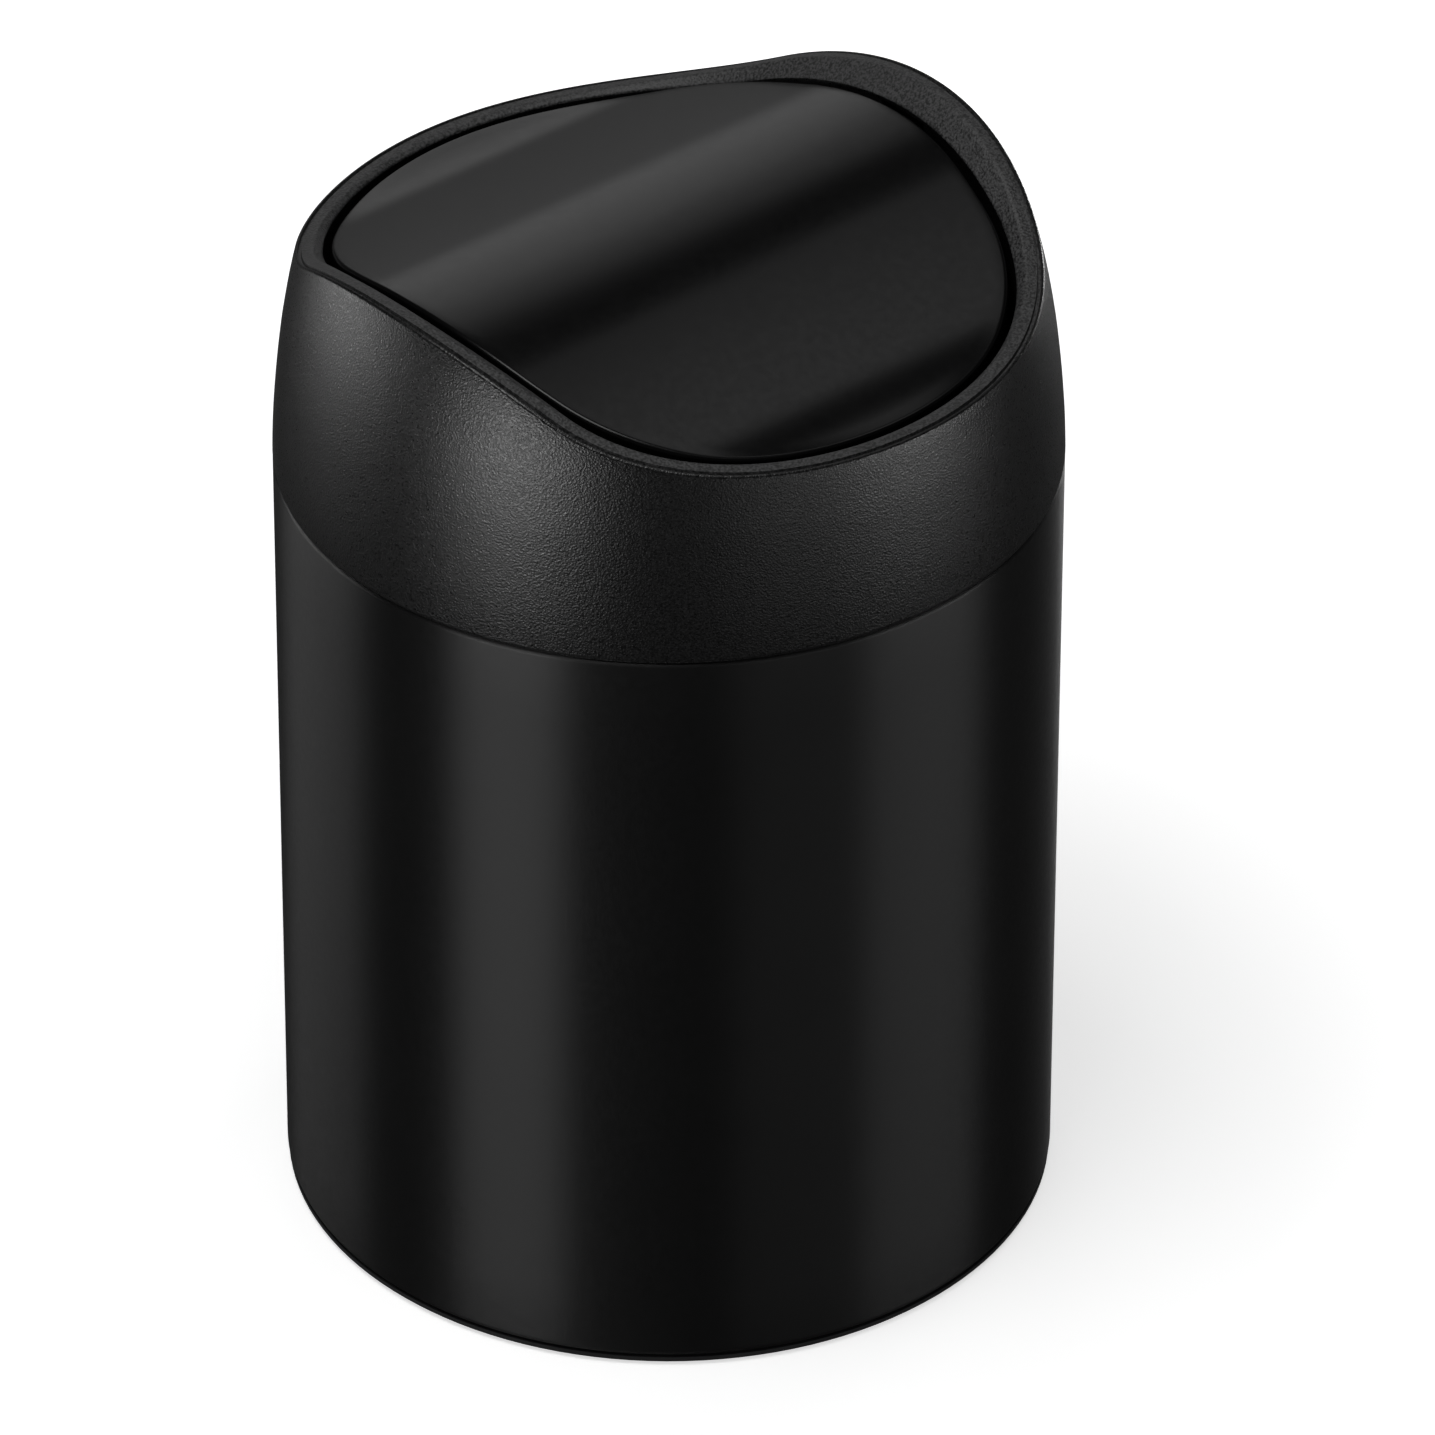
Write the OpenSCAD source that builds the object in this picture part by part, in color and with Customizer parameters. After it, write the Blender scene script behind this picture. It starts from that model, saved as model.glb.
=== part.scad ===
// Countertop trash can with swing lid.
// The origin is the centre of the face it stands on, Z is up and the flap swings about a line along X.

/* [Body] */
// Outer diameter of the steel body
body_d = 122; // [100:1:160]
// Height of the steel body, from the table to its rim
body_h = 131.9; // [100:0.1:220]
// Thickness of the steel sheet
sheet = 0.6; // [0.4:0.05:0.9]
// Height of the moulded edge that shows under the body
base_edge_h = 1.1; // [0.8:0.1:3]
// Height of the raised floor above the table
floor_h = 6; // [4.5:0.1:12]
// Depth of the hem turned in at the rim
hem_h = 4; // [3:0.1:8]

/* [Collar] */
// Height of the collar, from the body's rim to its two peaks
collar_h = 44.6; // [38:0.1:60]
// How far the low sides of the rim lie under its peaks
saddle_drop = 14.7; // [6:0.1:18]
// Radius of the rounded ridge at the peaks
ridge_r = 62; // [50:1:80]
// Where the rim comes level, as a distance inside the body's side
ridge_inset = 1; // [0:0.5:4]
// Lean of the collar's side at the bottom, in degrees from upright
barrel_lean = 4; // [1:0.1:6]
// Radius of the gentle lower part of the barrel curve
barrel_low_r = 600; // [300:10:900]
// Radius of the tighter upper part of the barrel curve
barrel_high_r = 100; // [80:1:160]
// Height of the lower part of the barrel curve
barrel_low_h = 20; // [12:0.5:24]
// Width of the flat land along the rim
land_w = 2.7; // [2:0.1:3]
// Depth of the funnel between land and mouth at the peaks
funnel_peak = 3; // [2.4:0.1:3.2]
// Depth of that funnel at the low sides
funnel_low = 0.5; // [0.4:0.05:0.8]
// Thickness of the collar's wall
collar_t = 2.5; // [1.8:0.1:2.6]
// Depth of the lip that turns down around the mouth
lip_depth = 8; // [6:0.1:9]
// Thickness of that lip
lip_t = 2; // [1.5:0.1:2.2]

/* [Flap] */
// Distance from the body's side to the flap's edge at the low sides
flap_inset = 8; // [7.6:0.1:10]
// Lean of the flap's outline towards the peaks, in mm per mm of height
flap_lean = 0.57; // [0.45:0.01:0.6]
// How far the flap's ridge lies under the rim's peaks
flap_sunk = 3; // [2.5:0.1:4]
// How far the flap's low sides lie under its ridge
flap_drop = 11.8; // [10:0.1:12.5]
// Radius of the flap's rounded ridge
flap_ridge_r = 60; // [52:1:70]
// Gap between the flap and the mouth
flap_gap = 1.3; // [1.2:0.1:1.8]
// Thickness of the outer panel
skin_t = 2.2; // [1.6:0.1:2.4]
// Thickness of the inner panel
tray_t = 1.6; // [1.2:0.1:2]
// Hollow between the two panels
flap_hollow = 3; // [2.4:0.1:3.2]
// Diameter of the pivot pins
pin_d = 4; // [3:0.1:4.4]
// Depth of the pivot axis under the flap's ridge
pivot_depth = 5.5; // [5.2:0.1:6]

/* [Fits] */
// Radial play of the pins in their bushes
pin_play = 0.05; // [0.03:0.01:0.1]
// Play between the insert's skirt and the hem
skirt_play = 0.6; // [0.4:0.05:1]
// Play between pieces that are only laid together
loose = 0.1; // [0.05:0.01:0.2]

/* [Hidden] */
$fn = 96;
fine = 1440;
outline_step = 4;

body_r = body_d / 2;
total_h = body_h + collar_h;
hem_r = 0.9;
hem_in = body_r - 2.2;
tube_in = body_r - sheet;
tube_bottom = base_edge_h + 0.4;

// Barrel curve of the collar: two arcs that share a tangent
proud = 0.15;
barrel_r = body_r + proud;
low_cx = barrel_r - barrel_low_r * cos(barrel_lean);
low_cz = body_h - barrel_low_r * sin(barrel_lean);
join_z = body_h + barrel_low_h;
join_lean = asin((join_z - low_cz) / barrel_low_r);
high_cx = low_cx + (barrel_low_r - barrel_high_r) * cos(join_lean);
high_cz = low_cz + (barrel_low_r - barrel_high_r) * sin(join_lean);
function barrel_at(z) = z < join_z
    ? low_cx + sqrt(pow(barrel_low_r, 2) - pow(z - low_cz, 2))
    : high_cx + sqrt(pow(barrel_high_r, 2) - pow(z - high_cz, 2));

// Ridge curve: a crown arc and two foot arcs that share tangents
ridge_half = body_r - ridge_inset;
flap_half = body_r - flap_inset;
flap_ridge_half = flap_half + 2;
flap_top = total_h - flap_sunk;
function foot_r(drop, half, crown) = (half * half + drop * drop) / (2 * drop) - crown;
function split_at(drop, half, crown) = half * crown / (crown + foot_r(drop, half, crown));
function ridge_z(y, top, drop, half, crown) = abs(y) >= half ? top - drop
    : abs(y) < split_at(drop, half, crown) ? top - crown + sqrt(crown * crown - y * y)
    : top - drop + foot_r(drop, half, crown)
        - sqrt(pow(foot_r(drop, half, crown), 2) - pow(half - abs(y), 2));
function rim_z(y) = ridge_z(y, total_h, saddle_drop, ridge_half, ridge_r);
function flap_z(y) = ridge_z(y, flap_top, flap_drop, flap_ridge_half, flap_ridge_r);

// Outlines seen from above, found by a few rounds of correction
flap_low = flap_z(flap_half);
function flap_r(a, r = flap_half - 3, n = 8) = n == 0 ? r
    : flap_r(a, flap_half - flap_lean * (flap_z(r * sin(a)) - flap_low), n - 1);
function mouth_r(a) = flap_r(a) + flap_gap;
function funnel_drop(a) = funnel_low + (funnel_peak - funnel_low) * pow(cos(a), 4);
function land_r(a, r = flap_half - 1, n = 8) = n == 0 ? r
    : land_r(a, barrel_at(rim_z(r * sin(a))) - land_w, n - 1);

cavity_roof = 3.5;
pocket_x = body_r - 23;
seat_r = body_r - 2.3;
shelf_z = body_h + 5;
shelf_t = 2.4;
seat_h = shelf_z + shelf_t - body_h;
shelf_in = body_r - 10;
skirt_h = 15;
skirt_r = hem_in - skirt_play;
skirt_t = 2;

pivot_z = flap_top - pivot_depth;
ear_r = pin_d / 2 + 1.3;
tower_in = body_r - 10.6;
ear_out = tower_in - 1.2;
ear_in = tower_in - 12.4;
tower_w = 14;
tower_top = pivot_z + 3.8;
bush_r = pin_d / 2 + 1.1;
flange_r = pin_d / 2 + 2.1;
flange_t = 0.9;
bush_out = tower_in + 1.8;
bore_r = pin_d / 2 + pin_play;
skirt_drop = 3.4;
rim_wall = 1.6;
tray_inset = 2.2;
tray_top = skin_t + flap_hollow;
weight_t = 1.2;
weight_w = 9;
weight_l = 0.87 * flap_half;
weight_y = 0.6 * flap_half;

collar_screw_r = body_r - 5.8;
collar_screw_d = 2.8;
collar_screw_l = 12;
boss_r = 3.5;
flap_screw_x = 0.53 * flap_half;
flap_screw_y = 0.38 * flap_half;
flap_seat_z = flap_z(flap_screw_y + 3.2) - tray_top - tray_t - 0.1;
flap_screw_d = 2.2;
flap_screw_l = 6;
flap_screw_head = 4.2;
flap_pad_r = flap_screw_head / 2 + 0.9;
rib_t = 1.2;
rib_near = 0.23 * flap_half;
rib_far = 0.53 * flap_half;

tread_h = 1;
tread_proud = 0.4;
tread_in = body_r - 7;
tread_out = body_r - 2.5;

black = "#1b1b1c";
dark = "#242425";
steel = "#8f9194";

// Shared shapes

// A ring with a rectangular section
module ring(r_out, r_in, z0, z1) {
    rotate_extrude() translate([r_in, z0]) square([r_out - r_in, z1 - z0]);
}

// Lays a section drawn in Y and Z along X
module along_x(length) {
    rotate([90, 0, 90]) linear_extrude(length, center = true) children();
}

// The section under a ridge curve
module under_ridge(top, drop, half, crown, low = 0) {
    foot = foot_r(drop, half, crown);
    split = split_at(drop, half, crown);
    split_z = top - crown + sqrt(crown * crown - split * split);
    reach = body_r + 20;
    intersection() {
        translate([0, top - crown]) circle(crown, $fn = fine);
        translate([-split, low]) square([2 * split, top - low + 1]);
    }
    translate([-split, low]) square([2 * split, split_z - low - 2]);
    for (side = [-1, 1]) {
        difference() {
            translate([side > 0 ? split - 0.5 : -half, low]) square([half - split + 0.5, split_z - low]);
            translate([side * half, top - drop + foot]) circle(foot, $fn = fine);
        }
        translate([side > 0 ? half - 0.5 : -reach, low]) square([reach - half + 0.5, top - drop - low]);
    }
}

// Everything under the rim's ridge curve, lowered by some depth
module under_rim(depth = 0) {
    along_x(3 * body_r) under_ridge(total_h - depth, saddle_drop, ridge_half, ridge_r);
}

// A panel that follows the flap's ridge curve between two depths
module flap_panel(from, to) {
    along_x(3 * body_r) difference() {
        under_ridge(flap_top - from, flap_drop, flap_ridge_half, flap_ridge_r);
        under_ridge(flap_top - to, flap_drop, flap_ridge_half, flap_ridge_r, -1);
    }
}

// The flap's outline, grown or shrunk by some width
module flap_prism(grow = 0, step = outline_step) {
    translate([0, 0, body_h - 20]) linear_extrude(collar_h + 60)
        polygon([for (a = [0:step:359]) (flap_r(a) + grow) * [cos(a), sin(a)]]);
}

// The solid under the barrel curve, set in by some thickness
module barrel(inset = 0) {
    top = total_h + 5;
    rotate_extrude() {
        intersection() {
            translate([low_cx, low_cz]) circle(barrel_low_r - inset, $fn = 4 * fine);
            translate([0, body_h]) square([body_r + 10, barrel_low_h]);
        }
        intersection() {
            translate([high_cx, high_cz]) circle(barrel_high_r - inset, $fn = fine);
            translate([0, join_z]) square([body_r + 10, top - join_z]);
        }
    }
}

// The cut for the mouth: an upright wall around the flap, then a funnel that opens up to the land
module mouth_cut() {
    angles = [for (a = [0:outline_step:359]) a];
    n = len(angles);
    high = [for (a = angles) [land_r(a), rim_z(land_r(a) * sin(a))]];
    low = [for (i = [0:n - 1]) [mouth_r(angles[i]), high[i][1] - funnel_drop(angles[i])]];
    head = [for (i = [0:n - 1]) high[i] + 3 * (high[i] - low[i]) / norm(high[i] - low[i])];
    function around(ring) = [for (i = [0:n - 1])
        [ring[i][0] * cos(angles[i]), ring[i][0] * sin(angles[i]), ring[i][1]]];
    bottom = around([for (p = low) [p[0], body_h - 5]]);
    lid = around([for (p = head) [p[0], total_h + 20]]);
    points = concat(bottom, around(low), around(head), lid, [[0, 0, body_h - 5], [0, 0, total_h + 20]]);
    polyhedron(points, concat(
        [for (i = [0:n - 1]) [4 * n, i, (i + 1) % n]],
        [for (k = [0:2], i = [0:n - 1]) [k * n + i, (k + 1) * n + i, k * n + (i + 1) % n]],
        [for (k = [0:2], i = [0:n - 1])
            [k * n + (i + 1) % n, (k + 1) * n + i, (k + 1) * n + (i + 1) % n]],
        [for (i = [0:n - 1]) [4 * n + 1, 3 * n + (i + 1) % n, 3 * n + i]]));
}

// A cylinder along X between two distances from the centre
module along_pivot(r, x0, x1) {
    translate([x0, 0, pivot_z]) rotate([0, 90, 0]) cylinder(r = r, h = x1 - x0);
}

// Repeats its children at the four diagonal places
module at_corners(r) {
    for (a = [45:90:315]) rotate(a) translate([r, 0, 0]) children();
}

// Body

// Sheet-steel tube with a hem turned in at the rim and a lip turned in at the bottom
module body_tube() {
    color(black) rotate_extrude() {
        translate([tube_in, tube_bottom + 1]) square([sheet, body_h - hem_r - tube_bottom - 1]);
        translate([hem_in, body_h - hem_h]) square([sheet, hem_h - hem_r]);
        translate([hem_in + hem_r, body_h - sheet]) square([body_r - hem_in - 2 * hem_r, sheet]);
        for (side = [0, 1]) hem_corner(side);
        translate([body_r - 3.5, tube_bottom]) square([2.5, sheet]);
        intersection() {
            difference() {
                translate([body_r - 1, tube_bottom + 1]) circle(1);
                translate([body_r - 1, tube_bottom + 1]) circle(1 - sheet);
            }
            translate([body_r - 1, tube_bottom]) square(1);
        }
    }
}

// One rounded corner of the hem, the outer one or the inner one
module hem_corner(outer) {
    x = outer ? body_r - hem_r : hem_in + hem_r;
    intersection() {
        difference() {
            translate([x, body_h - hem_r]) circle(hem_r);
            translate([x, body_h - hem_r]) circle(hem_r - sheet);
        }
        translate([outer ? x : x - hem_r, body_h - hem_r]) square(hem_r);
    }
}

// Pressed floor: a raised disc with a stiffening bead, on a foot that rests on the tube's lip
module body_floor() {
    foot_z = tube_bottom + sheet;
    step_r = body_r - 6;
    bead_r = body_r - 23;
    color(steel) rotate_extrude() difference() {
        union() {
            translate([0, floor_h]) square([step_r, sheet]);
            translate([step_r - sheet, foot_z]) square([sheet, floor_h + sheet - foot_z]);
            translate([step_r - sheet, foot_z]) square([body_r - 1 - step_r + sheet, sheet]);
            translate([tube_in - loose - sheet, foot_z + sheet / 2])
                square([sheet, floor_h - foot_z + 2]);
            intersection() {
                translate([bead_r, floor_h]) circle(1.6);
                translate([bead_r - 2, floor_h]) square([4, 2]);
            }
        }
        translate([bead_r, floor_h]) circle(1.6 - sheet);
    }
}

// Moulded ring that closes the bottom edge and clips into the floor's foot
module base_ring() {
    r = body_r - 0.2;
    clip_r = body_r - 6 - sheet - loose;
    z0 = tread_proud;
    color(dark) difference() {
        union() {
            ring(r, clip_r - 2.4, z0, tube_bottom);
            ring(clip_r, clip_r - 1.6, z0, floor_h - 0.5);
            for (a = [0:30:330]) rotate(a)
                translate([clip_r - 6.4, -0.6, z0]) cube([5.5, 1.2, floor_h - 2 - z0]);
            ring(clip_r - 5.6, clip_r - 7, z0, floor_h - 2);
            ring(clip_r - 1, clip_r - 6, z0, z0 + 1.1);
        }
        ring(tread_out, tread_in, z0 - 1, tread_h);
        rotate_extrude() translate([r, z0]) rotate(45) square(0.6, center = true);
    }
}

// Soft non-slip ring in the base ring's groove, with two thin wiping grooves
module base_tread() {
    mid = (tread_in + tread_out) / 2;
    color("#151515") difference() {
        ring(tread_out, tread_in, 0, tread_h);
        for (r = [mid - 0.8, mid + 0.8]) ring(r + 0.3, r - 0.3, -1, 0.3);
    }
}

// Collar

// Outer collar: barrel-shaped wall, saddle rim, funnel and lip around the mouth
module collar_shell() {
    color(black) difference() {
        intersection() {
            barrel();
            under_rim();
        }
        difference() {
            shell_hollow();
            at_corners(collar_screw_r)
                translate([0, 0, shelf_z + shelf_t]) cylinder(r = boss_r, h = total_h);
        }
        mouth_cut();
        at_corners(collar_screw_r)
            translate([0, 0, shelf_z]) cylinder(d = collar_screw_d, h = collar_screw_l + 1, $fn = 32);
        for (side = [-1, 1]) pin_notch(side);
        rotate_extrude() translate([barrel_r, body_h]) rotate(45) square(0.5, center = true);
    }
}

// The room inside the collar: a pocket behind the lip at each peak, the bore and the insert's seat
module shell_hollow() {
    intersection() {
        barrel(collar_t);
        under_rim(cavity_roof);
        union() {
            for (side = [0, 180]) rotate(side) difference() {
                translate([pocket_x, -body_r, body_h - 1]) cube([body_r, 2 * body_r, collar_h]);
                flap_prism(flap_gap + lip_t, 3 * outline_step);
            }
            under_rim(lip_depth);
        }
    }
    translate([0, 0, body_h - 1]) cylinder(r = seat_r, h = seat_h + 1);
}

// The notch in the lip that the pin, its ear and the bush reach through
module pin_notch(side) {
    w = 2 * flange_r + 1.6;
    x = side > 0 ? flap_r(0) - 1 : -tower_in;
    translate([x, -w / 2, pivot_z - 12]) cube([tower_in - flap_r(0) + 1, w, 12 + flange_r + 0.6]);
}

// Inner ring: skirt that plugs into the body, screw shelf and the two bearing towers
module collar_insert() {
    color(dark) difference() {
        union() {
            ring(skirt_r, skirt_r - skirt_t, body_h - skirt_h, body_h);
            ring(seat_r, skirt_r - skirt_t, body_h, body_h + seat_h);
            ring(skirt_r, shelf_in, shelf_z, shelf_z + shelf_t);
            for (side = [0, 180]) rotate(side) tower();
        }
        ring(skirt_r + 1, skirt_r - 0.9, body_h - 3.2, body_h - 1);
        at_corners(collar_screw_r)
            translate([0, 0, shelf_z - 1]) cylinder(d = collar_screw_d + 0.4, h = 5, $fn = 32);
        at_corners(collar_screw_r)
            translate([0, 0, shelf_z - 6]) cylinder(r = 3.2, h = 6.6, $fn = 32);
        for (a = [22.5:45:359]) rotate(a)
            translate([skirt_r - 3, -1, body_h - skirt_h - 1]) cube([6, 2, 9]);
        for (side = [0, 180]) rotate(side) along_pivot(bush_r, tower_in - 1, body_r);
    }
}

// One tower: a plate with two side gussets, trimmed to the inside of the collar
module tower() {
    intersection() {
        union() {
            translate([tower_in, -tower_w / 2, shelf_z])
                cube([3.4, tower_w, tower_top - shelf_z]);
            for (side = [-1, 1]) translate([tower_in, side * (tower_w / 2 - 0.8) - 0.8, shelf_z])
                cube([7, 1.6, pivot_z - 10 - shelf_z]);
        }
        barrel(collar_t + loose);
    }
}

// Soft ring in the skirt's groove, level with the hem
module grip_ring() {
    color("#303030") rotate_extrude() {
        translate([skirt_r - 0.9, body_h - 3.2]) square([0.9, 2.2]);
        translate([skirt_r - 0.4, body_h - 2.6]) square([0.7, 1]);
    }
}

// Four self-tapping screws, driven up through the shelf
module collar_screws() {
    color(steel) at_corners(collar_screw_r) translate([0, 0, shelf_z + 0.6]) {
        cylinder(d = collar_screw_d, h = collar_screw_l, $fn = 32);
        difference() {
            translate([0, 0, -1.8]) cylinder(d = 5.4, h = 1.8, $fn = 48);
            for (a = [0, 90]) rotate(a) translate([0, 0, -1.4]) cube([3, 0.7, 1], center = true);
        }
    }
}

// Flanged bearing bush in a tower
module bush(side) {
    color("#d8d6cf") rotate(side > 0 ? 0 : 180) difference() {
        union() {
            along_pivot(bush_r, tower_in, bush_out);
            along_pivot(flange_r, tower_in - flange_t, tower_in);
        }
        along_pivot(bore_r, tower_in - 2, bush_out + 1);
    }
}

module bush_left() bush(-1);
module bush_right() bush(1);

// Flap

// Outer panel of the flap, with a turned-down edge, stiffening ribs and screw bosses
module flap_skin() {
    color(black) difference() {
        union() {
            intersection() {
                flap_panel(0, skin_t);
                flap_prism();
            }
            intersection() {
                flap_panel(0, skirt_drop);
                difference() {
                    flap_prism();
                    flap_prism(-rim_wall);
                }
            }
            intersection() {
                flap_panel(skin_t - 0.4, tray_top);
                flap_screw_bosses(2.4);
            }
            intersection() {
                flap_panel(skin_t - 0.4, tray_top - 1);
                flap_prism(-rim_wall - 2.2);
                for (y = [-rib_far, -rib_near, rib_near, rib_far])
                    translate([-body_r, y - rib_t / 2, body_h]) cube([2 * body_r, rib_t, collar_h]);
            }
        }
        intersection() {
            flap_screw_bosses(flap_screw_d / 2);
            flap_panel(1.2, tray_top + 1);
        }
        for (side = [0, 180]) rotate(side) along_pivot(ear_r + loose, ear_in - 1, body_r);
    }
}

// Upright cylinders at the four flap screws
module flap_screw_bosses(r) {
    for (x = [-1, 1], y = [-1, 1]) translate([x * flap_screw_x, y * flap_screw_y, body_h])
        cylinder(r = r, h = collar_h, $fn = 48);
}

// Inner panel of the flap, with an upstand around it, level screw seats and the two pin ears
module flap_tray() {
    color(dark) difference() {
        union() {
            intersection() {
                flap_panel(tray_top, tray_top + tray_t);
                flap_prism(-tray_inset);
            }
            intersection() {
                flap_panel(skin_t, tray_top + tray_t);
                difference() {
                    flap_prism(-tray_inset);
                    flap_prism(-tray_inset - 1.4);
                }
            }
            for (side = [0, 180]) rotate(side) {
                along_pivot(ear_r, ear_in, ear_out);
                ear_rib();
            }
            intersection() {
                flap_panel(tray_top, tray_top + 8);
                flap_screw_bosses(flap_pad_r);
                translate([0, 0, flap_seat_z]) cylinder(r = body_r, h = collar_h);
            }
        }
        for (side = [0, 180]) rotate(side) along_pivot(pin_d / 2, ear_in - 0.5, body_r);
        flap_screw_bosses(flap_screw_d / 2 + 0.2);
    }
}

// The rib that carries an ear back into the panel
module ear_rib() {
    intersection() {
        translate([ear_in - 14, -0.9, pivot_z - 3]) cube([15, 1.8, 4]);
        flap_panel(tray_top, 20);
    }
}

// Steel strip that lies between the panels along a low side
module weight(side) {
    color(steel) intersection() {
        flap_panel(tray_top - weight_t, tray_top);
        translate([-weight_l / 2, side > 0 ? weight_y : -weight_y - weight_w, body_h])
            cube([weight_l, weight_w, collar_h]);
    }
}

module weight_front() weight(-1);
module weight_rear() weight(1);

// Steel pivot pin, pressed into an ear and free in its bush
module pin(side) {
    color(steel) rotate(side > 0 ? 0 : 180) along_pivot(pin_d / 2, ear_in, bush_out);
}

module pin_left() pin(-1);
module pin_right() pin(1);

// Four self-tapping screws that hold the tray to the skin
module flap_screws() {
    color(steel) for (x = [-1, 1], y = [-1, 1]) {
        translate([x * flap_screw_x, y * flap_screw_y, flap_seat_z]) {
            cylinder(d = flap_screw_d, h = flap_screw_l, $fn = 32);
            difference() {
                translate([0, 0, -1.5]) cylinder(d = flap_screw_head, h = 1.5, $fn = 48);
                for (a = [0, 90]) rotate(a) translate([0, 0, -1.2]) cube([2.4, 0.6, 1], center = true);
            }
        }
    }
}

body_tube();
body_floor();
base_ring();
base_tread();
collar_shell();
collar_insert();
grip_ring();
collar_screws();
bush_left();
bush_right();
flap_skin();
flap_tray();
weight_front();
weight_rear();
pin_left();
pin_right();
flap_screws();
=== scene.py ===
import math
import bpy
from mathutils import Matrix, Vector


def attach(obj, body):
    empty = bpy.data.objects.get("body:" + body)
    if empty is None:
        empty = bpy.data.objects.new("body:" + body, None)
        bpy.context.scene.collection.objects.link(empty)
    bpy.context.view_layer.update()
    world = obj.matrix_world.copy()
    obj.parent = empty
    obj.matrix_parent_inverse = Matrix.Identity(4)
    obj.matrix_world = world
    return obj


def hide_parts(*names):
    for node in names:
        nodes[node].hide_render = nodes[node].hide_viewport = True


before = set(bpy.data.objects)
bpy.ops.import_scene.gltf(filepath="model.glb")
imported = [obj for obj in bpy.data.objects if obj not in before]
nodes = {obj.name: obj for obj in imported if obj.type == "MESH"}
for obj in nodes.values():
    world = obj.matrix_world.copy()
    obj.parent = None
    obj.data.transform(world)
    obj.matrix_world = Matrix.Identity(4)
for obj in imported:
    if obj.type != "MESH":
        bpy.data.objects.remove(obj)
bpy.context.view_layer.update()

mm = 0.001


# helpers

def deselectAll():
    if bpy.context.object and bpy.context.object.mode != "OBJECT":
        bpy.ops.object.mode_set(mode="OBJECT")
    bpy.ops.object.select_all(action="DESELECT")


def keepActive(name):
    piece = bpy.context.object
    piece.name = name
    piece.data.name = name
    return piece


def fixNormals(piece):
    deselectAll()
    piece.select_set(True)
    bpy.context.view_layer.objects.active = piece
    bpy.ops.object.mode_set(mode="EDIT")
    bpy.ops.mesh.select_all(action="SELECT")
    bpy.ops.mesh.remove_doubles(threshold=0.000001)
    bpy.ops.mesh.normals_make_consistent(inside=False)
    bpy.ops.object.mode_set(mode="OBJECT")


def smoothPiece(piece, angle=28):
    deselectAll()
    piece.select_set(True)
    bpy.context.view_layer.objects.active = piece
    bpy.ops.object.shade_smooth_by_angle(angle=math.radians(angle))


def applyModifiers(piece):
    deselectAll()
    piece.select_set(True)
    bpy.context.view_layer.objects.active = piece
    for modifier in list(piece.modifiers):
        bpy.ops.object.modifier_apply(modifier=modifier.name)


def sectionRing(name, around, section):
    # a torus whose every slice is laid on section(angle), a list of (radius, height) in mm
    count = len(section(0))
    deselectAll()
    bpy.ops.mesh.primitive_torus_add(major_segments=around, minor_segments=count,
                                     major_radius=0.06, minor_radius=0.01)
    piece = keepActive(name)
    verts = piece.data.vertices
    for i in range(around):
        angle = 360 * i / around
        turn = math.radians(angle)
        for k, (r, z) in enumerate(section(angle)):
            verts[i * count + k].co = (r * mm * math.cos(turn), r * mm * math.sin(turn), z * mm)
    fixNormals(piece)
    return piece


def cornerArc(a, corner, b, steps):
    # a soft corner between two points, as a curve that the sharp corner pulls
    points = []
    for i in range(steps + 1):
        t = i / steps
        points.append(tuple((1 - t) ** 2 * p + 2 * t * (1 - t) * c + t * t * q
                            for p, c, q in zip(a, corner, b)))
    return points


def towards(a, b, distance):
    length = math.dist(a, b)
    t = min(distance / length, 0.45)
    return tuple(p + (q - p) * t for p, q in zip(a, b))


# shape values shared by the collar and the flap, in mm

can = {
    "bodyR": 61, "bodyH": 131.9, "sheet": 0.6,
    "top": 176.5, "rimDrop": 14.7, "rimHalf": 60, "rimCrown": 62,
    "lean": 4, "lowArc": 600, "highArc": 100, "lowH": 20, "proud": 0.15,
    "landW": 2.7, "funnelPeak": 3, "funnelLow": 0.5, "wall": 2.5, "lipDepth": 8, "lipT": 2,
    "flapHalf": 53, "flapLean": 0.57, "flapTop": 173.5, "flapDrop": 11.8, "flapRidgeHalf": 55,
    "flapCrown": 60, "gap": 1.3,
    "skinRidge": 17.5, "skinFlank": 40.5, "slopeHigh": 16.5, "slopeLow": 18.3,
}

# the collar's wall is a gentle arc from the seam up, then a tighter one, both with their centres here
barrelR = can["bodyR"] + can["proud"]
lowX = barrelR - can["lowArc"] * math.cos(math.radians(can["lean"]))
lowZ = can["bodyH"] - can["lowArc"] * math.sin(math.radians(can["lean"]))
joinZ = can["bodyH"] + can["lowH"]
joinLean = math.asin((joinZ - lowZ) / can["lowArc"])
highX = lowX + (can["lowArc"] - can["highArc"]) * math.cos(joinLean)
highZ = lowZ + (can["lowArc"] - can["highArc"]) * math.sin(joinLean)


def barrelAt(z, inset=0):
    if z < joinZ:
        return lowX + math.sqrt((can["lowArc"] - inset) ** 2 - (z - lowZ) ** 2)
    return highX + math.sqrt((can["highArc"] - inset) ** 2 - (z - highZ) ** 2)


def ridgeZ(y, top, drop, half, crown):
    foot = (half * half + drop * drop) / (2 * drop) - crown
    split = half * crown / (crown + foot)
    y = abs(y)
    if y >= half:
        return top - drop
    if y < split:
        return top - crown + math.sqrt(crown * crown - y * y)
    return top - drop + foot - math.sqrt(foot * foot - (half - y) ** 2)


def rimZ(y):
    return ridgeZ(y, can["top"], can["rimDrop"], can["rimHalf"], can["rimCrown"])


def flapZ(y):
    return ridgeZ(y, can["flapTop"], can["flapDrop"], can["flapRidgeHalf"], can["flapCrown"])


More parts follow.
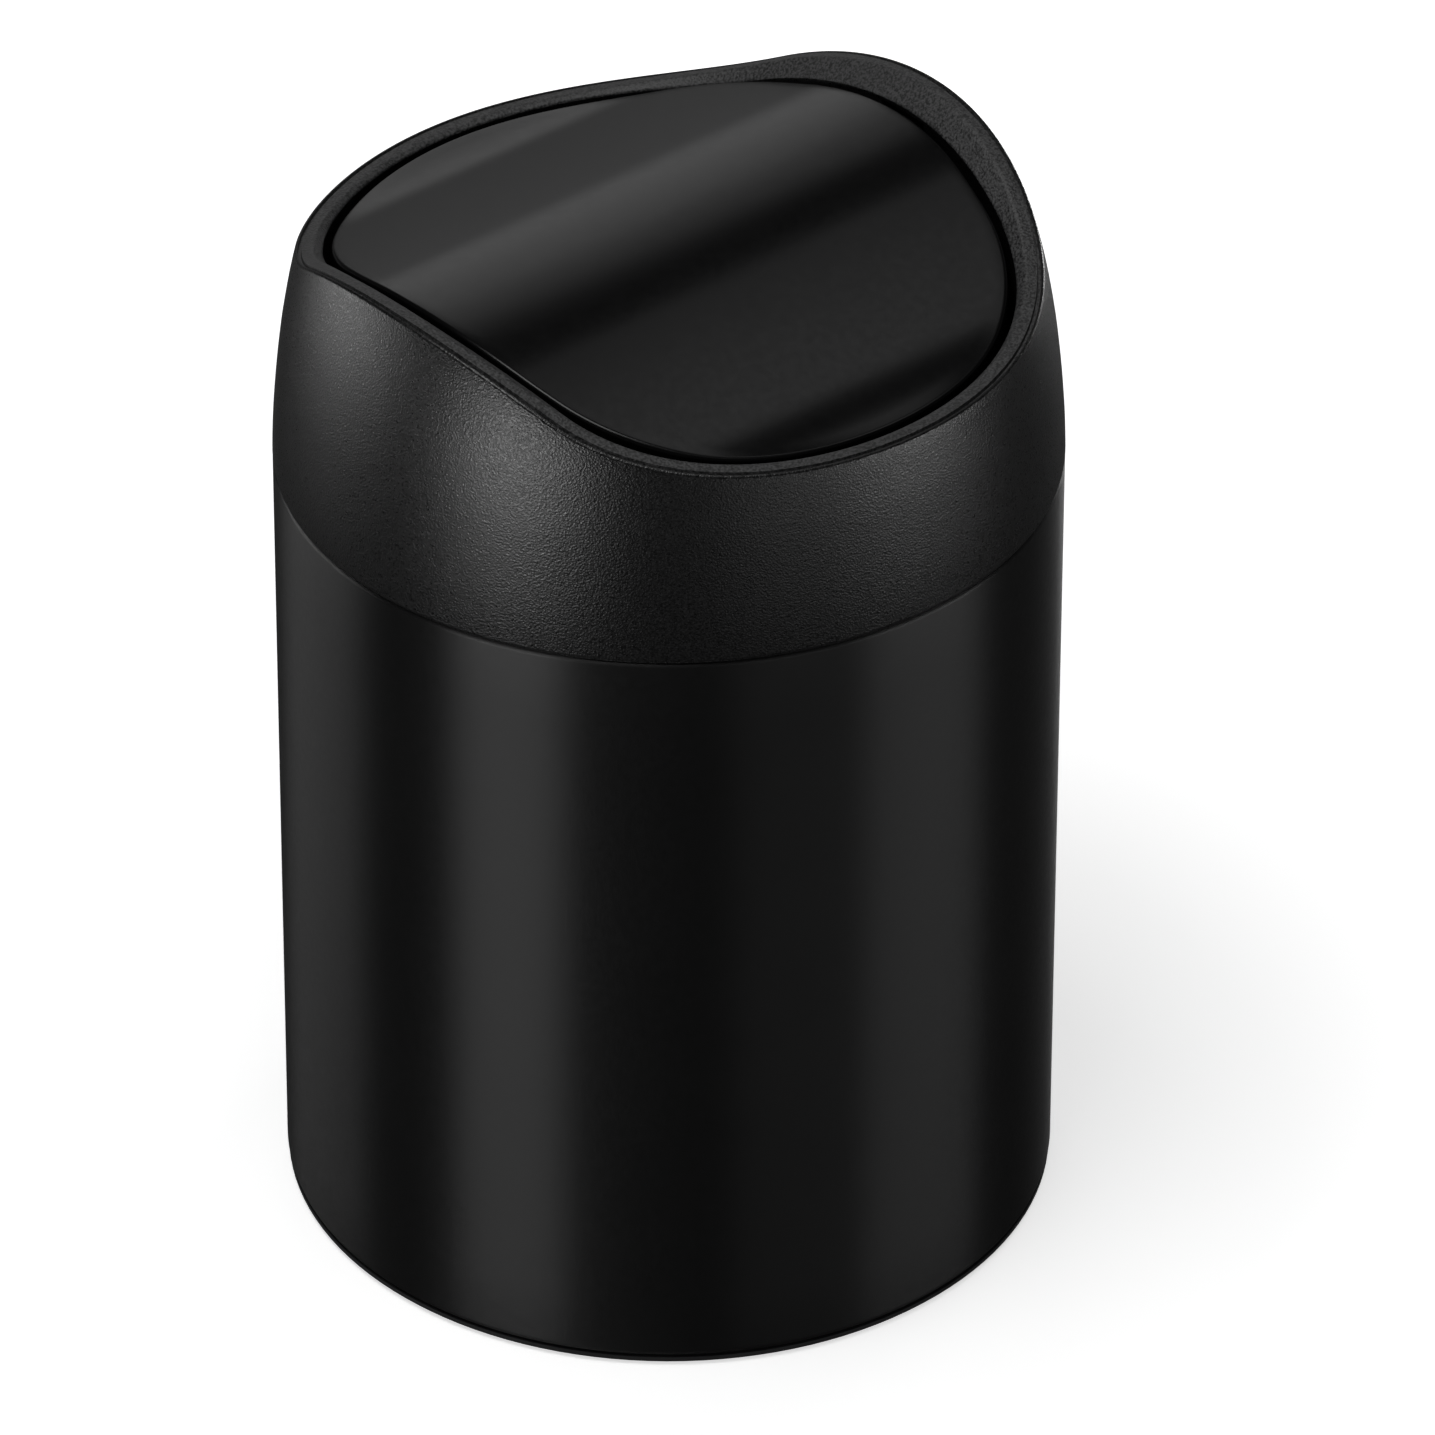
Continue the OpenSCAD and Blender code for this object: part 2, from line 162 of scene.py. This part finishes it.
def skinSlopeAt(y):
    # slope of the flap's outer face: a round ridge, a nearly straight flank and a short foot
    ridge, flank, half = can["skinRidge"], can["skinFlank"], can["flapHalf"]
    if y < ridge:
        return can["slopeHigh"] * y / ridge
    if y < flank:
        return can["slopeHigh"] + (can["slopeLow"] - can["slopeHigh"]) * (y - ridge) / (flank - ridge)
    return can["slopeLow"] * max(half - y, 0) / (half - flank)


skinStep = 0.25
skinDrops = [0]
for i in range(int(can["flapHalf"] / skinStep) + 1):
    skinDrops.append(skinDrops[-1] + skinStep * math.tan(math.radians(skinSlopeAt((i + 0.5) * skinStep))))


def skinZ(y):
    place = min(abs(y), can["flapHalf"]) / skinStep
    i = int(place)
    return can["flapTop"] - skinDrops[i] - (skinDrops[i + 1] - skinDrops[i]) * (place - i)


def flapR(angle):
    r = 50
    for i in range(12):
        r = can["flapHalf"] - can["flapLean"] * (flapZ(r * math.sin(angle)) - flapZ(can["flapHalf"]))
    return r


def rimR(angle, inward=0):
    r = 54
    for i in range(12):
        r = barrelAt(rimZ(r * math.sin(angle))) - inward
    return r


# materials

def newMaterial(name, color, roughness, specular):
    material = bpy.data.materials.new(name)
    material.use_nodes = True
    shader = material.node_tree.nodes["Principled BSDF"]
    shader.inputs["Base Color"].default_value = (*color, 1)
    shader.inputs["Roughness"].default_value = roughness
    shader.inputs["Specular IOR Level"].default_value = specular
    return material, shader


def addNoise(material, scale, detail=2, roughness=0.5):
    tree = material.node_tree
    coords = tree.nodes.new("ShaderNodeTexCoord")
    noise = tree.nodes.new("ShaderNodeTexNoise")
    noise.inputs["Scale"].default_value = scale
    noise.inputs["Detail"].default_value = detail
    noise.inputs["Roughness"].default_value = roughness
    tree.links.new(coords.outputs["Object"], noise.inputs["Vector"])
    return noise.outputs["Fac"]


def addRange(material, source, low, high, fromLow=0.3, fromHigh=0.7):
    tree = material.node_tree
    spread = tree.nodes.new("ShaderNodeMapRange")
    spread.inputs["From Min"].default_value = fromLow
    spread.inputs["From Max"].default_value = fromHigh
    spread.inputs["To Min"].default_value = low
    spread.inputs["To Max"].default_value = high
    tree.links.new(source, spread.inputs["Value"])
    return spread.outputs["Result"]


def addTint(material, shader, source, dark, light):
    tree = material.node_tree
    ramp = tree.nodes.new("ShaderNodeValToRGB")
    ramp.color_ramp.elements[0].position = 0.35
    ramp.color_ramp.elements[1].position = 0.65
    ramp.color_ramp.elements[0].color = (*dark, 1)
    ramp.color_ramp.elements[1].color = (*light, 1)
    tree.links.new(source, ramp.inputs["Fac"])
    tree.links.new(ramp.outputs["Color"], shader.inputs["Base Color"])


def addBump(material, shader, source, distance, strength=1.0):
    tree = material.node_tree
    bump = tree.nodes.new("ShaderNodeBump")
    bump.inputs["Distance"].default_value = distance
    bump.inputs["Strength"].default_value = strength
    tree.links.new(source, bump.inputs["Height"])
    if shader.inputs["Normal"].is_linked:
        tree.links.new(shader.inputs["Normal"].links[0].from_socket, bump.inputs["Normal"])
    tree.links.new(bump.outputs["Normal"], shader.inputs["Normal"])


def makeBodyPaint():
    look = {"dark": (0.0013, 0.0013, 0.0014), "light": (0.0019, 0.0019, 0.002),
            "rough": (0.4, 0.46), "specular": 0.45, "drawn": 0.85}
    material, shader = newMaterial("bodyPaint", look["dark"], 0.5, look["specular"])
    shader.inputs["Anisotropic"].default_value = look["drawn"]
    shader.inputs["Anisotropic Rotation"].default_value = 0.25
    around = material.node_tree.nodes.new("ShaderNodeTangent")
    around.direction_type = "RADIAL"
    around.axis = "Z"
    material.node_tree.links.new(around.outputs["Tangent"], shader.inputs["Tangent"])
    addTint(material, shader, addNoise(material, 60), look["dark"], look["light"])
    material.node_tree.links.new(addRange(material, addNoise(material, 900, 3), *look["rough"]),
                                 shader.inputs["Roughness"])
    addBump(material, shader, addNoise(material, 1600, 2), 0.000006)
    return material


def makeGrain(name, look):
    # spark-eroded leather grain: small closed cells with finer pitting between them
    material, shader = newMaterial(name, look["dark"], look["rough"][0], look["specular"])
    tree = material.node_tree
    coords = tree.nodes.new("ShaderNodeTexCoord")
    cells = tree.nodes.new("ShaderNodeTexVoronoi")
    cells.feature = "SMOOTH_F1"
    cells.inputs["Scale"].default_value = look["cell"]
    cells.inputs["Smoothness"].default_value = 0.35
    tree.links.new(coords.outputs["Object"], cells.inputs["Vector"])
    speck = addNoise(material, look["cell"] * 0.9, 1)
    addTint(material, shader, speck, look["dark"], look["light"])
    tree.links.new(addRange(material, speck, *look["rough"]), shader.inputs["Roughness"])
    addBump(material, shader, cells.outputs["Distance"], look["depth"])
    addBump(material, shader, addNoise(material, look["cell"] * 2, 1), look["depth"] * 0.4)
    return material


def makeWallGrain():
    return makeGrain("grainedPlastic", {
        "dark": (0.0012, 0.0012, 0.0013), "light": (0.0056, 0.0056, 0.0058),
        "rough": (0.26, 0.42), "specular": 0.55, "cell": 3100, "depth": 0.000044})


# the wall's grained plastic with a far lighter colour: painted light on the up-facing rim land and funnel,
# a lit copy of one material
def makeRimGrainPaintedLight():
    return makeGrain("rimGrainPaintedLight", {
        "dark": (0.009, 0.009, 0.0091), "light": (0.07, 0.07, 0.071),
        "rough": (0.5, 0.65), "specular": 0.6, "cell": 2700, "depth": 0.00006})


def makeSatin():
    look = {"dark": (0.002, 0.002, 0.0021), "light": (0.0026, 0.0026, 0.0027),
            "rough": (0.22, 0.26), "specular": 0.25}
    material, shader = newMaterial("satinPlastic", look["dark"], 0.27, look["specular"])
    addTint(material, shader, addNoise(material, 40), look["dark"], look["light"])
    material.node_tree.links.new(addRange(material, addNoise(material, 700, 3), *look["rough"]),
                                 shader.inputs["Roughness"])
    addBump(material, shader, addNoise(material, 2500, 2), 0.000002)
    return material


def makePlain(name, dark, light, rough, specular, scale, depth, metallic=0.0):
    material, shader = newMaterial(name, dark, rough[0], specular)
    shader.inputs["Metallic"].default_value = metallic
    addTint(material, shader, addNoise(material, scale * 0.3), dark, light)
    material.node_tree.links.new(addRange(material, addNoise(material, scale, 3), *rough),
                                 shader.inputs["Roughness"])
    addBump(material, shader, addNoise(material, scale * 2), depth)
    return material


bodyPaint = makeBodyPaint()
grain = makeWallGrain()
rimGrainPaintedLight = makeRimGrainPaintedLight()
satin = makeSatin()
darkPlastic = makePlain("darkPlastic", (0.012, 0.012, 0.0125), (0.017, 0.017, 0.0175),
                        (0.42, 0.52), 0.35, 500, 0.00001)
edgePlastic = makePlain("edgePlastic", (0.02, 0.02, 0.021), (0.026, 0.026, 0.027),
                        (0.35, 0.42), 0.5, 500, 0.000005)
bushPlastic = makePlain("bearingPlastic", (0.008, 0.008, 0.0082), (0.012, 0.012, 0.0122),
                   (0.4, 0.5), 0.35, 400, 0.000005)
rubber = makePlain("softRubber", (0.016, 0.016, 0.016), (0.022, 0.022, 0.022),
                   (0.72, 0.82), 0.3, 900, 0.00002)
zinc = makePlain("zincSteel", (0.42, 0.42, 0.43), (0.5, 0.5, 0.52), (0.3, 0.42), 0.5, 300,
                 0.000006, 1.0)
print("materials ready")


# body

def makeBody():
    part = {"around": 256, "low": 1.5, "bottomR": 1.4, "hemR": 0.9, "hemDeep": 4, "hemIn": 2.2,
            "turnIn": 3.5}
    r, t, top, low = can["bodyR"], can["sheet"], can["bodyH"], part["low"]

    def arc(cx, cz, radius, start, end, steps):
        return [(cx + radius * math.cos(math.radians(start + (end - start) * i / steps)),
                 cz + radius * math.sin(math.radians(start + (end - start) * i / steps)))
                for i in range(steps + 1)]

    hemIn = r - part["hemIn"]
    b, h = part["bottomR"], part["hemR"]
    outer = arc(r - b, low + b, b, 270, 360, 7)
    outer += [(r, low + b + (top - h - low - b) * i / 12) for i in range(1, 12)]
    outer += arc(r - h, top - h, h, 0, 90, 8)
    outer += arc(hemIn + h, top - h, h, 90, 180, 8)
    outer += [(hemIn, top - part["hemDeep"]), (hemIn + t, top - part["hemDeep"])]
    outer += arc(hemIn + h, top - h, h - t, 180, 90, 4)
    outer += arc(r - h, top - h, h - t, 90, 0, 4)
    outer += [(r - t, low + b + 30), (r - t, low + b)]
    outer += arc(r - b, low + b, b - t, 360, 270, 4)[1:]
    outer += [(r - part["turnIn"], low + t), (r - part["turnIn"], low)]
    piece = sectionRing("bodyShell", part["around"], lambda angle: outer)
    smoothPiece(piece)
    piece.data.materials.append(bodyPaint)
    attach(piece, "body")
    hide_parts("body_tube")


makeBody()
print("body ready")


# collar

def makeCollar():
    part = {"around": 256, "edge": 0.4, "inner": 0.45, "mouth": 0.3, "pocketFrom": 38,
            "bulge": 0.19, "bulgeH": 25, "tuck": 0.12, "tuckH": 8, "grooveW": 0.6, "grooveDeep": 0.6,
            "plugR": 2.3, "seatH": 8, "lipSoft": 0.3, "landDeep": 4.5, "notchX": 48, "notchZ": 164.35,
            "notchSize": (4.8, 9.8, 16.7)}

    def wallAt(z):
        # the moulded wall leaves the seam almost upright and swells a little above it
        rise = z - can["bodyH"]
        swell = part["bulge"] * math.sin(math.pi * min(rise / part["bulgeH"], 1))
        return barrelAt(z) + swell - part["tuck"] * max(1 - rise / part["tuckH"], 0) ** 2

    def section(angle):
        turn = math.radians(angle)
        s, c = math.sin(turn), abs(math.cos(turn))
        rOut = rimR(turn)
        zOut = rimZ(rOut * s)
        rLand = rimR(turn, can["landW"])
        zLand = rimZ(rLand * s)
        rLow = flapR(turn) + can["gap"]
        zLow = zLand - can["funnelLow"] - (can["funnelPeak"] - can["funnelLow"]) * c ** 4
        base = can["bodyH"]
        points = [(barrelR - 0.5, base), (barrelR - 0.22, base + 0.1), (barrelR - 0.13, base + 0.38)]
        wallTop = zOut - part["edge"]
        points += [(wallAt(base + 0.6 + (wallTop - base - 0.6) * i / 16),
                    base + 0.6 + (wallTop - base - 0.6) * i / 16) for i in range(16)]
        a = (wallAt(wallTop), wallTop)
        b = (rOut - part["edge"], rimZ((rOut - part["edge"]) * s))
        points += cornerArc(a, (rOut, zOut), b, 6)
        low = (rLow, zLow)
        inA = (rLand + part["inner"], rimZ((rLand + part["inner"]) * s))
        inB = towards((rLand, zLand), low, part["inner"])
        for back, deep in ((0.06, 0.6), (0.1, 1), (part["grooveW"] - 0.04, 1), (part["grooveW"], 0.6)):
            points.append((b[0] - back, rimZ((b[0] - back) * s) - deep * part["grooveDeep"]))
        b = (b[0] - part["grooveW"] - 0.06, 0)
        points.append((b[0], rimZ(b[0] * s)))
        for i in range(1, 4):
            r = b[0] + (inA[0] - b[0]) * i / 4
            points.append((r, rimZ(r * s)))
        points += cornerArc(inA, (rLand, zLand), inB, 5)
        lowA = towards(low, (rLand, zLand), part["mouth"])
        points += [tuple(p + (q - p) * i / 4 for p, q in zip(inB, lowA)) for i in range(1, 4)]
        points += cornerArc(lowA, low, (rLow, zLow - part["mouth"]), 4)
        zLip = rimZ(rLow * s) - can["lipDepth"]
        lipTop = zLow - part["mouth"]
        points += [(rLow, lipTop + (zLip + part["lipSoft"] - lipTop) * i / 4) for i in range(1, 4)]
        points += cornerArc((rLow, zLip + part["lipSoft"]), (rLow, zLip),
                            (rLow + part["lipSoft"], zLip), 2)
        depth = min(max((rLow * c - part["pocketFrom"]) / 3, 0), 1) * (can["lipDepth"] - 3.5)
        rBack = rLow + can["lipT"]
        rIn = barrelAt(zLip, can["wall"])
        rRoof = max(barrelAt(zLip + depth, can["wall"]), rBack + 0.02)
        rIn = max(rIn, rBack + 0.04)
        points += [(rBack, zLip), (rBack, zLip + depth + 0.01), (rRoof, zLip + depth + 0.01),
                   ((rRoof + rIn) / 2, zLip + depth / 2), (rIn, zLip - 0.02)]
        seatTop = base + part["seatH"]
        points += [(barrelAt(zLip + (seatTop - zLip) * i / 5, can["wall"]), zLip + (seatTop - zLip) * i / 5)
                   for i in range(1, 6)]
        rPlug = can["bodyR"] - part["plugR"]
        points += [(rPlug, seatTop - 0.05), (rPlug, base + 0.05)]
        return points

    piece = sectionRing("collarShell", part["around"], section)
    for side in (-1, 1):
        deselectAll()
        place = (side * part["notchX"] * mm, 0, part["notchZ"] * mm)
        bpy.ops.mesh.primitive_cube_add(size=1, location=place,
                                        scale=[length * mm for length in part["notchSize"]])
        cutter = bpy.context.object
        cut = piece.modifiers.new("pinNotch", "BOOLEAN")
        cut.operation = "DIFFERENCE"
        cut.solver = "EXACT"
        cut.object = cutter
        applyModifiers(piece)
        bpy.data.objects.remove(cutter)
    smoothPiece(piece)
    piece.data.materials.clear()
    piece.data.materials.append(grain)
    piece.data.materials.append(rimGrainPaintedLight)
    # up-facing faces of the rim land and funnel take the lighter rim material: light from above painted
    # into their colour
    for face in piece.data.polygons:
        turn = math.atan2(face.center.y, face.center.x)
        inner = math.hypot(face.center.x, face.center.y) / mm < rimR(turn) - part["edge"]
        high = face.center.z / mm > rimZ(face.center.y / mm) - part["landDeep"]
        face.material_index = 1 if inner and high and face.normal.z > 0.1 else 0
    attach(piece, "collar")
    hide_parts("collar_shell")


makeCollar()
print("collar ready")


# flap

def makeFlap():
    part = {"around": 360, "edge": 0.7, "rings": 34, "skin": 1.7, "skirt": 3.4, "rimWall": 1.6}
    rings = [("in", i / part["rings"]) for i in range(1, part["rings"] + 1)]
    rings += [("edge", i / 6) for i in range(1, 7)]
    rings += [("down", 0.5), ("down", 1), ("foot", 0), ("up", 0), ("up", 1)]
    rings += [("under", i / 14) for i in range(1, 14)]
    deselectAll()
    bpy.ops.mesh.primitive_uv_sphere_add(segments=part["around"], ring_count=len(rings) + 1, radius=1)
    piece = keepActive("flapSkin")
    total = len(rings) + 1
    for vert in piece.data.vertices:
        x, y, z = vert.co
        k = round(math.acos(max(-1, min(1, z))) / math.pi * total)
        if k == 0:
            vert.co = (0, 0, can["flapTop"] * mm)
            continue
        if k == total:
            vert.co = (0, 0, (can["flapTop"] - part["skin"]) * mm)
            continue
        turn = math.atan2(y, x)
        s = math.sin(turn)
        edge = flapR(turn)
        kind, t = rings[k - 1]
        inner = edge - part["edge"]
        if kind == "in":
            r = inner * t
            z = skinZ(r * s)
        elif kind == "edge":
            top = skinZ(edge * s)
            a, corner, b = (inner, skinZ(inner * s)), (edge, top), (edge, top - part["edge"])
            r, z = cornerArc(a, corner, b, 6)[round(t * 6)]
        elif kind == "down":
            r = edge
            z = skinZ(edge * s) - part["edge"] - (part["skirt"] - part["edge"]) * t
        elif kind == "foot":
            r = edge - part["rimWall"]
            z = skinZ(r * s) - part["skirt"]
        elif kind == "up":
            r = edge - part["rimWall"] - 0.1 * t
            z = skinZ(r * s) - part["skirt"] + (part["skirt"] - part["skin"]) * (0.1 + 0.9 * t)
        else:
            r = (edge - part["rimWall"] - 0.1) * (1 - t)
            z = skinZ(r * s) - part["skin"]
        vert.co = (r * math.cos(turn) * mm, r * s * mm, z * mm)
    fixNormals(piece)
    smoothPiece(piece)
    piece.data.materials.append(satin)
    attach(piece, "flap")
    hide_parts("flap_skin")


makeFlap()
print("flap ready")


# carried-over nodes

nodeLooks = {
    "body_floor": zinc, "base_ring": edgePlastic, "base_tread": rubber,
    "collar_insert": darkPlastic, "grip_ring": rubber, "collar_screws": zinc,
    "bush_left": bushPlastic, "bush_right": bushPlastic, "flap_tray": darkPlastic,
    "weight_front": zinc, "weight_rear": zinc, "pin_left": zinc, "pin_right": zinc,
    "flap_screws": zinc, "body_tube": bodyPaint, "collar_shell": grain, "flap_skin": satin,
}
for name, look in nodeLooks.items():
    piece = nodes[name]
    piece.data.materials.clear()
    piece.data.materials.append(look)
    smoothPiece(piece, 30)
print("nodes ready")


# floor, light and camera

def backgroundShare(material, glossy=None):
    # 1 for what the camera sees straight or through glass, and a share for what is seen in gloss
    tree = material.node_tree
    path = tree.nodes.new("ShaderNodeLightPath")
    share = tree.nodes.new("ShaderNodeMath")
    share.operation = "MULTIPLY"
    share.inputs[1].default_value = 0
    tree.links.new(path.outputs["Is Glossy Ray"], share.inputs[0])
    if glossy:
        tree.links.new(glossy, share.inputs[1])
    for name in ("Is Camera Ray", "Is Transmission Ray"):
        more = tree.nodes.new("ShaderNodeMath")
        more.operation = "ADD"
        more.use_clamp = True
        tree.links.new(share.outputs[0], more.inputs[0])
        tree.links.new(path.outputs[name], more.inputs[1])
        share = more
    return share.outputs[0]


def makeFloor():
    stage = {"radius": 1.7, "grey": 0.04, "white": 0.85, "nearGlow": 0.64, "farGlow": 1.0,
             "nearShare": 0.01, "farShare": 0.08, "shareNear": 0.35, "shareFar": 0.8,
             "glowNear": 0.1, "glowFar": 0.35}
    deselectAll()
    bpy.ops.mesh.primitive_circle_add(vertices=96, radius=stage["radius"], fill_type="NGON")
    floor = keepActive("floor")
    material, shader = newMaterial("paleFloor", (stage["grey"],) * 3, 0.2, 1.0)
    tree = material.node_tree
    coords = tree.nodes.new("ShaderNodeTexCoord")
    reach = tree.nodes.new("ShaderNodeVectorMath")
    reach.operation = "LENGTH"
    tree.links.new(coords.outputs["Object"], reach.inputs[0])
    distance = reach.outputs["Value"]
    # what gloss sees of the white floor is a share that grows with distance from the can: a painted
    # reflection, darker near the can
    glossy = addRange(material, distance, stage["nearShare"], stage["farShare"],
                      stage["shareNear"], stage["shareFar"])
    # the floor glows white to the camera, but less near the can: painted shade round the can's foot, added
    # to the cast shadow
    glow = addRange(material, distance, stage["nearGlow"], stage["farGlow"],
                    stage["glowNear"], stage["glowFar"])
    white = tree.nodes.new("ShaderNodeBsdfDiffuse")
    white.inputs["Color"].default_value = (*(stage["white"],) * 3, 1)
    light = tree.nodes.new("ShaderNodeEmission")
    both = tree.nodes.new("ShaderNodeAddShader")
    mix = tree.nodes.new("ShaderNodeMixShader")
    tree.links.new(glow, light.inputs["Strength"])
    tree.links.new(white.outputs[0], both.inputs[0])
    tree.links.new(light.outputs[0], both.inputs[1])
    tree.links.new(backgroundShare(material, glossy), mix.inputs[0])
    tree.links.new(shader.outputs[0], mix.inputs[1])
    tree.links.new(both.outputs[0], mix.inputs[2])
    tree.links.new(mix.outputs[0], tree.nodes["Material Output"].inputs["Surface"])
    floor.data.materials.append(material)


def makeLamp(name, direction, distance, height, width, tall, radiance, aim=0.12):
    turn = math.radians(direction)
    place = Vector((distance * math.cos(turn), distance * math.sin(turn), height))
    bpy.ops.object.light_add(type="AREA", location=place)
    lamp = bpy.context.object
    lamp.name = name
    lamp.data.shape = "RECTANGLE"
    lamp.data.size = width
    lamp.data.size_y = tall
    lamp.data.energy = radiance * width * tall * math.pi
    lamp.rotation_euler = (Vector((0, 0, aim)) - place).to_track_quat("-Z", "Y").to_euler()
    return lamp


def makeLights():
    # each lamp: direction in degrees, distance, height, width, tall, radiance and the height it aims at
    room = {"fill": 0.025, "white": 1.0}
    lamps = {
        "keyLeft": (187, 0.9, 0.08, 0.47, 0.15, 9.8, 0.1),
        "rearLeft": (122, 0.9, 0.08, 0.6, 0.15, 4.3, 0.1),
        "frontRight": (262, 0.9, 0.08, 0.5, 0.15, 1.5, 0.1),
        "sideRight": (300, 0.9, 0.08, 0.6, 0.15, 5.2, 0.1),
        "rimRight": (15, 0.9, 0.08, 0.3, 0.15, 12, 0.1),
        "backLow": (56, 0.86, 0.47, 0.3, 0.36, 0.8, 0.17),
        "backMid": (49, 0.75, 0.7, 0.26, 0.2, 0.6, 0.17),
        "backHorizon": (57, 0.95, 0.16, 0.4, 0.2, 0.15, 0.16),
        "topRight": (7, 0.52, 0.98, 0.3, 0.26, 1.2, 0.17),
        "overhead": (190, 0.3, 1.25, 0.6, 0.6, 5.5, 0.1),
    }
    for name, values in lamps.items():
        makeLamp(name, *values)
    world = bpy.data.worlds.new("studio")
    bpy.context.scene.world = world
    world.use_nodes = True
    sky = world.node_tree.nodes["Background"]
    sky.inputs["Color"].default_value = (1, 1, 1, 1)
    strength = addRange(world, backgroundShare(world), room["fill"], room["white"], 0, 1)
    world.node_tree.links.new(strength, sky.inputs["Strength"])


def makeCamera():
    shot = {"back": 1.5364, "height": 1.1249, "turn": -40.6, "pitch": 0.5969,
            "focal": 11883, "picture": 1435, "axisX": 668.89}
    turn = math.radians(shot["turn"])
    bpy.ops.object.camera_add(location=(shot["back"] * math.sin(turn),
                                        -shot["back"] * math.cos(turn), shot["height"]))
    camera = bpy.context.object
    camera.name = "camera"
    camera.rotation_euler = (math.pi / 2 - shot["pitch"], 0, turn)
    camera.data.sensor_width = 36
    camera.data.lens = 36 * shot["focal"] / shot["picture"]
    camera.data.shift_x = (shot["picture"] / 2 - shot["axisX"]) / shot["picture"]
    camera.data.clip_end = 50
    bpy.context.scene.camera = camera


makeFloor()
makeLights()
makeCamera()
bpy.context.scene.view_settings.view_transform = "Standard"
print("stage ready")
